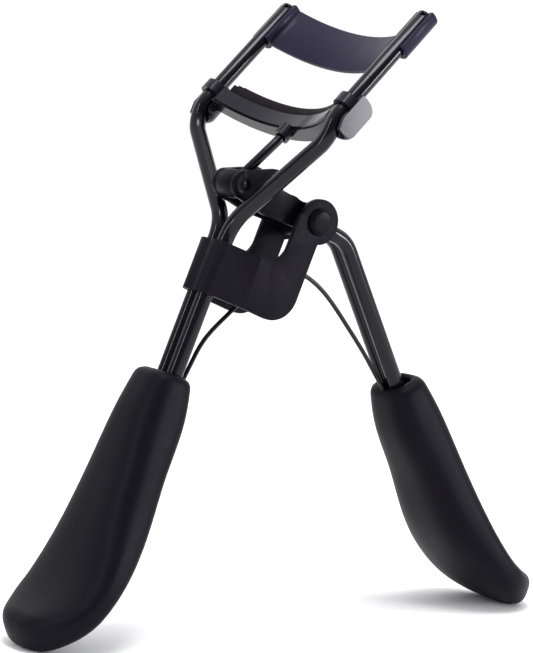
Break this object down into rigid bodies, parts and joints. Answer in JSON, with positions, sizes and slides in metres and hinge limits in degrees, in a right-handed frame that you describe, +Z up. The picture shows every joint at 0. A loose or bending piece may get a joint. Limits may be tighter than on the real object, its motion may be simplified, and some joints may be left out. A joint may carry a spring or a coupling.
{
  "type": "eyelash_curler",
  "caption": "Eyelash curler: wire frame with a curved blade, a padded jaw that slides to it, a link, a folded bracket, a sprung lever and finger grips",
  "frame": {"origin": "on the surface the tool stands on, at the middle of its bounding box seen from above", "axes": "+Z up, +Y along the lever's hinge axis, +X toward the moving grip"},
  "size_m": [0.1031, 0.0418, 0.1028],
  "materials": {
    "gloss_black_wire": "glossy black plated wire",
    "blade_satin": "satin dark slate plate",
    "jaw_sheet": "satin black pressed sheet",
    "bracket_sheet": "satin black folded sheet",
    "rivet_black": "black rivet, satin",
    "lever_black": "satin black",
    "pad_rubber": "matt dark rubber",
    "spring_wire": "black spring wire",
    "grip_soft": "soft-touch matt black"
  },
  "bodies": {
    "frame": {"frame_rod_near": "gloss_black_wire", "frame_rod_far": "gloss_black_wire", "upper_blade": "blade_satin", "bracket": "bracket_sheet", "pivot_rivet": "rivet_black", "washer_near": "rivet_black", "washer_far": "rivet_black", "fixed_grip": "grip_soft", "spring": "spring_wire"},
    "lever": {"lever_rod_near": "gloss_black_wire", "lever_rod_far": "gloss_black_wire", "lever_barrel": "lever_black", "lever_plate_near": "lever_black", "lever_plate_far": "lever_black", "knuckle_pin": "rivet_black", "moving_grip": "grip_soft"},
    "jaw": {"jaw_channel": "jaw_sheet", "lash_pad": "pad_rubber"},
    "link": {"link_rod": "gloss_black_wire", "link_eye": "lever_black"}
  },
  "joints": [
    {"name": "lever_hinge", "type": "hinge", "parent": "frame", "child": "lever", "pos_m": [-0.0006, 0, 0.0676], "axis": [0, 1, 0], "range_deg": [0, 38.5], "stiffness_Nm_per_rad": 0.12, "springref_deg": -34.38, "deforming": ["spring"]},
    {"name": "jaw_slide", "type": "slide", "parent": "frame", "child": "jaw", "axis": [0.7071, 0, 0.7071], "range_m": [0, 0.0099]},
    {"name": "link_swing", "type": "hinge", "parent": "jaw", "child": "link", "pos_m": [-0.00544, 0, 0.08142], "axis": [0, 1, 0], "range_deg": [0, 5.5]}
  ],
  "couplings": [
    {"joint": "jaw_slide", "follows": "lever_hinge", "m_per_rad": 0.01456},
    {"joint": "link_swing", "follows": "lever_hinge", "ratio": 0.13}
  ]
}
